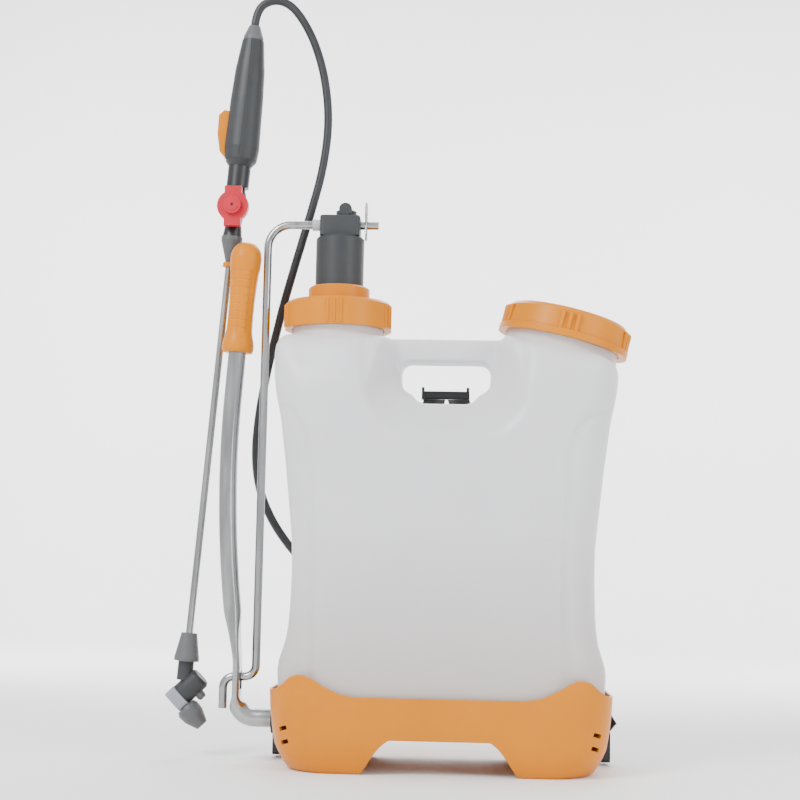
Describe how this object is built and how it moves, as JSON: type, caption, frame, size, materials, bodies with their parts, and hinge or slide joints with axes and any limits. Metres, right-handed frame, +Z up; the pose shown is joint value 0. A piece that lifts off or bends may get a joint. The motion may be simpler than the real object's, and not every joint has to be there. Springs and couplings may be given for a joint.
{
  "type": "backpack sprayer",
  "caption": "Knapsack sprayer: a translucent tank in a moulded base, a side lever that drives a piston pump through a rod, a hose, a trigger lance on the lever, and a harness.",
  "frame": {"origin": "on the floor, at the middle of the base", "axes": "+Z up, +X to the right of the tank's front, +Y towards the back, where the harness is"},
  "size_m": [0.5047, 0.2451, 0.8643],
  "materials": {
    "tank_plastic": "translucent white",
    "orange_plastic": "satin",
    "grey_plastic": "satin",
    "mid_grey_plastic": "satin",
    "light_grey_plastic": "satin",
    "black_plastic": "satin",
    "red_plastic": "satin",
    "clear_plastic": "milky",
    "steel": "drawn",
    "rubber": "matt",
    "hose_pvc": "satin",
    "webbing": "woven",
    "padding": "woven over foam"
  },
  "bodies": {
    "root": {"tank": "tank_plastic", "base_shell": "orange_plastic", "outer_bush": "black_plastic", "inner_bush": "black_plastic", "ring_nut": "orange_plastic", "pump_cylinder": "black_plastic", "neck_gasket": "rubber", "barrel_collar": "orange_plastic", "wiper_seal": "rubber", "foot_valve": "black_plastic", "intake_strainer": "black_plastic", "strap_anchor_bar": "black_plastic", "strap_pad_left": "padding", "strap_pad_right": "padding", "strap_top_left": "webbing", "strap_top_right": "webbing", "strap_foot_left": "webbing", "strap_foot_right": "webbing", "ladder_locks": "black_plastic", "base_buckles": "black_plastic", "hose_middle": "hose_pvc", "hose_lower": "hose_pvc"},
    "intake_valve": {"intake_ball": "steel"},
    "pump_head": {"pump_bell": "grey_plastic", "piston": "black_plastic", "piston_cup": "rubber", "head_block": "grey_plastic", "outlet_elbow": "grey_plastic", "outlet_nut": "black_plastic", "rod_bush": "clear_plastic"},
    "outlet_valve": {"outlet_ball": "steel"},
    "rod": {"connecting_rod": "steel", "rod_clip": "steel"},
    "lever": {"lever_tube": "steel", "lever_grip": "orange_plastic", "lance_hook": "black_plastic", "lever_washer": "steel", "lever_split_pin": "steel"},
    "lance": {"hose_upper": "hose_pvc", "handle_trigger_half": "grey_plastic", "handle_back_half": "grey_plastic", "valve_tube": "steel", "handle_hose_nut": "mid_grey_plastic", "handle_nut": "black_plastic", "trigger_pin": "steel", "regulator_body": "black_plastic", "lance_top_nut": "mid_grey_plastic", "lance_tube": "steel", "lance_foot_nut": "mid_grey_plastic", "nozzle_elbow": "grey_plastic", "stub_jet": "mid_grey_plastic"},
    "trigger": {"trigger": "orange_plastic"},
    "knob": {"regulator_knob": "red_plastic"},
    "swivel": {"swivel_block": "light_grey_plastic"},
    "cap": {"nozzle_cap": "mid_grey_plastic"},
    "basket": {"strainer_basket": "black_plastic"},
    "gasket": {"lid_gasket": "rubber"},
    "lid": {"fill_lid": "orange_plastic", "lid_vent": "black_plastic"}
  },
  "joints": [
    {"name": "lever_swing", "type": "hinge", "parent": "root", "child": "lever", "pos_m": [-0.16, 0, 0.0476], "axis": [-1, 0, 0], "range_deg": [0, 90]},
    {"name": "pump_stroke", "type": "slide", "parent": "root", "child": "pump_head", "axis": [0, 0, -1], "range_m": [0, 0.0456]},
    {"name": "rod_tilt", "type": "hinge", "parent": "pump_head", "child": "rod", "pos_m": [-0.1204, 0, 0.5895], "axis": [1, 0, 0], "range_deg": [0, 5.05]},
    {"name": "lance_lift", "type": "slide", "parent": "lever", "child": "lance", "axis": [0.075, 0, 0.9972], "range_m": [0, 0.03]},
    {"name": "trigger_pull", "type": "hinge", "parent": "lance", "child": "trigger", "pos_m": [-0.25223, 0.03, 0.677], "axis": [0, 1, 0], "range_deg": [0, 6], "stiffness_Nm_per_rad": 1.2, "springref_deg": -5.73},
    {"name": "pressure_turn", "type": "hinge", "parent": "lance", "child": "knob", "pos_m": [-0.24401, 0.01, 0.6135], "axis": [0, -1, 0], "range_deg": [0, 90]},
    {"name": "jet_swivel", "type": "hinge", "parent": "lance", "child": "swivel", "pos_m": [-0.2796, 0.03, 0.0741], "axis": [0.7193, 0, 0.6947], "range_deg": [-90, 90]},
    {"name": "cap_turn", "type": "hinge", "parent": "swivel", "child": "cap", "pos_m": [-0.2901, 0.03, 0.06396], "axis": [0.6947, 0, -0.7193], "continuous": true},
    {"name": "basket_lift", "type": "slide", "parent": "root", "child": "basket", "axis": [0.2334, 0, 0.9724], "range_m": [0, 0.09]},
    {"name": "lid_lift", "type": "slide", "parent": "basket", "child": "gasket", "axis": [0.2334, 0, 0.9724], "range_m": [0, 0.06]},
    {"name": "lid_turn", "type": "hinge", "parent": "gasket", "child": "lid", "pos_m": [0.1266, 0, 0.4585], "axis": [0.2334, 0, 0.9724], "continuous": true},
    {"name": "intake_ball_lift", "type": "slide", "parent": "root", "child": "intake_valve", "axis": [0, 0, 1], "range_m": [0, 0.003]},
    {"name": "outlet_ball_lift", "type": "slide", "parent": "pump_head", "child": "outlet_valve", "axis": [0, 0, 1], "range_m": [0, 0.003]}
  ],
  "couplings": [
    {"joint": "pump_stroke", "follows": "lever_swing", "m_per_rad": 0.028966},
    {"joint": "rod_tilt", "follows": "lever_swing", "ratio": 0.05577}
  ]
}
